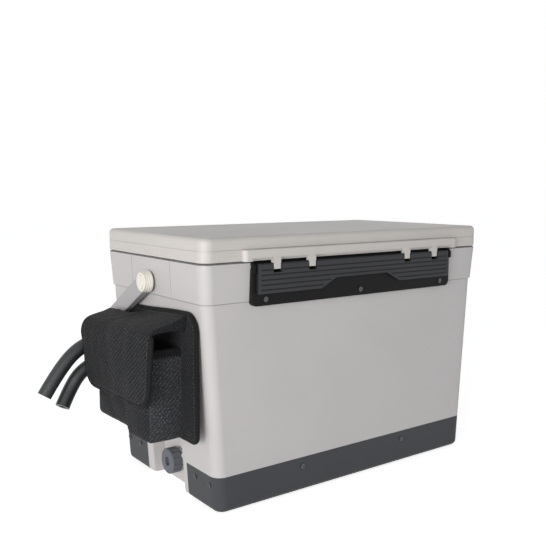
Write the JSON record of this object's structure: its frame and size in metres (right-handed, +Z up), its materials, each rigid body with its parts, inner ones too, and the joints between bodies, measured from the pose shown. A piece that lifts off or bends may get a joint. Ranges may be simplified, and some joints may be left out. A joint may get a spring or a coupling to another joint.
{
  "type": "hot and cold water therapy unit",
  "caption": "Insulated box with a lift-up lid, front latch lever, carrying bail, screw drain plug, soft controller pouch and two insulated hose tails.",
  "frame": {"origin": "centre of the flat underside of the base tray", "axes": "+X along the long side, away from the pouch and the drain; +Y from the latch to the lid hinge; +Z up"},
  "size_m": [0.6153, 0.2939, 0.3355],
  "materials": {
    "shell_plastic": "fine satin, warm pale grey",
    "liner_plastic": "smooth pale grey",
    "insulation": "dull rigid foam",
    "tray_plastic": "fine grain, dark grey",
    "latch_plastic": "fine grain, near black",
    "lever_plastic": "fine grain, dark grey",
    "rod_steel": "drawn rod",
    "screw_steel": "dull zinc",
    "bail_plastic": "satin, light grey",
    "grip_plastic": "satin, light grey",
    "cap_plastic": "satin, cream",
    "seal_rubber": "soft matte",
    "drain_plastic": "satin, light grey",
    "plug_plastic": "fine grain, blue-grey",
    "tether_plastic": "soft, white",
    "port_plastic": "satin black",
    "hose_foam": "closed-cell foam skin, dark",
    "hose_tube": "smooth",
    "pouch_fabric": "coarse woven polyester, black",
    "pouch_tape": "ribbed binding tape, black",
    "hook_tape": "hook and loop, black",
    "rivet_metal": "black",
    "case_plastic": "fine grain, black",
    "button_plastic": "smooth grey",
    "board_green": "lacquered board",
    "lens_clear": "clear",
    "contact_brass": "bright",
    "pump_plastic": "satin black",
    "impeller_plastic": "smooth white",
    "magnet_ferrite": "dull dark"
  },
  "bodies": {
    "root": {"body_shell": "shell_plastic", "inner_liner": "liner_plastic", "rim_frame": "liner_plastic", "body_foam": "insulation", "base_tray": "tray_plastic", "tray_screws": "screw_steel", "latch_plate": "latch_plastic", "latch_rod": "rod_steel", "latch_screws": "screw_steel", "hinge_plate": "latch_plastic", "hinge_rod": "rod_steel", "hinge_screws": "screw_steel", "bail_pivots": "bail_plastic", "pivot_caps": "cap_plastic", "drain_gasket": "seal_rubber", "drain_fitting": "drain_plastic", "drain_tether": "tether_plastic", "supply_port": "port_plastic", "return_port": "port_plastic", "port_nuts": "port_plastic", "supply_hose_foam": "hose_foam", "supply_hose_tube": "hose_tube", "return_hose_foam": "hose_foam", "return_hose_tube": "hose_tube", "pouch_back_panel": "pouch_fabric", "pouch_rivets": "rivet_metal", "pouch_pocket": "pouch_fabric", "pouch_binding": "pouch_tape", "loop_patch": "hook_tape", "controller_case": "case_plastic", "controller_cover": "case_plastic", "cover_screws": "screw_steel", "circuit_board": "board_green", "button_switch": "case_plastic", "status_lens": "lens_clear", "dc_socket": "case_plastic", "dc_pin": "contact_brass", "cable_gland": "port_plastic", "pump_housing": "pump_plastic", "pump_cover": "pump_plastic", "pump_shaft": "rod_steel", "suction_feet": "seal_rubber", "outlet_riser": "hose_tube", "return_spout": "hose_tube"},
    "lid": {"lid_shell": "shell_plastic", "lid_inner_panel": "liner_plastic", "lid_foam": "insulation", "lid_gasket": "seal_rubber"},
    "latch": {"latch_lever": "lever_plastic"},
    "bail": {"handle_bail": "bail_plastic", "handle_grip": "grip_plastic"},
    "flap": {"pouch_flap": "pouch_fabric", "hook_patch": "hook_tape"},
    "drain_slider": {"drain_seal": "seal_rubber"},
    "drain_cap": {"drain_plug": "plug_plastic"},
    "button": {"power_button": "button_plastic"},
    "rotor": {"pump_impeller": "impeller_plastic", "rotor_magnet": "magnet_ferrite"}
  },
  "joints": [
    {"name": "lid_hinge", "type": "hinge", "parent": "root", "child": "lid", "pos_m": [0, 0.133, 0.299], "axis": [-1, 0, 0], "range_deg": [0, 95]},
    {"name": "latch_turn", "type": "hinge", "parent": "root", "child": "latch", "pos_m": [0, -0.133, 0.299], "axis": [-1, 0, 0], "range_deg": [0, 60]},
    {"name": "bail_swing", "type": "hinge", "parent": "root", "child": "bail", "pos_m": [0, 0, 0.2735], "axis": [1, 0, 0], "range_deg": [0, 195]},
    {"name": "flap_lift", "type": "hinge", "parent": "root", "child": "flap", "pos_m": [-0.23946, 0, 0.242], "axis": [0, 1, 0], "range_deg": [0, 45]},
    {"name": "drain_travel", "type": "slide", "parent": "root", "child": "drain_slider", "axis": [-1, 0, 0], "range_m": [0, 0.006]},
    {"name": "drain_turn", "type": "hinge", "parent": "drain_slider", "child": "drain_cap", "pos_m": [-0.21, 0, 0.0305], "axis": [-1, 0, 0], "range_deg": [0, 720]},
    {"name": "button_press", "type": "slide", "parent": "root", "child": "button", "axis": [0, 0, -1], "range_m": [0, 0.002], "stiffness_N_per_m": 300},
    {"name": "rotor_spin", "type": "hinge", "parent": "root", "child": "rotor", "pos_m": [-0.13, 0.074, 0.05], "axis": [1, 0, 0], "continuous": true}
  ],
  "couplings": [
    {"joint": "drain_travel", "follows": "drain_turn", "m_per_rad": 0.00047746}
  ]
}
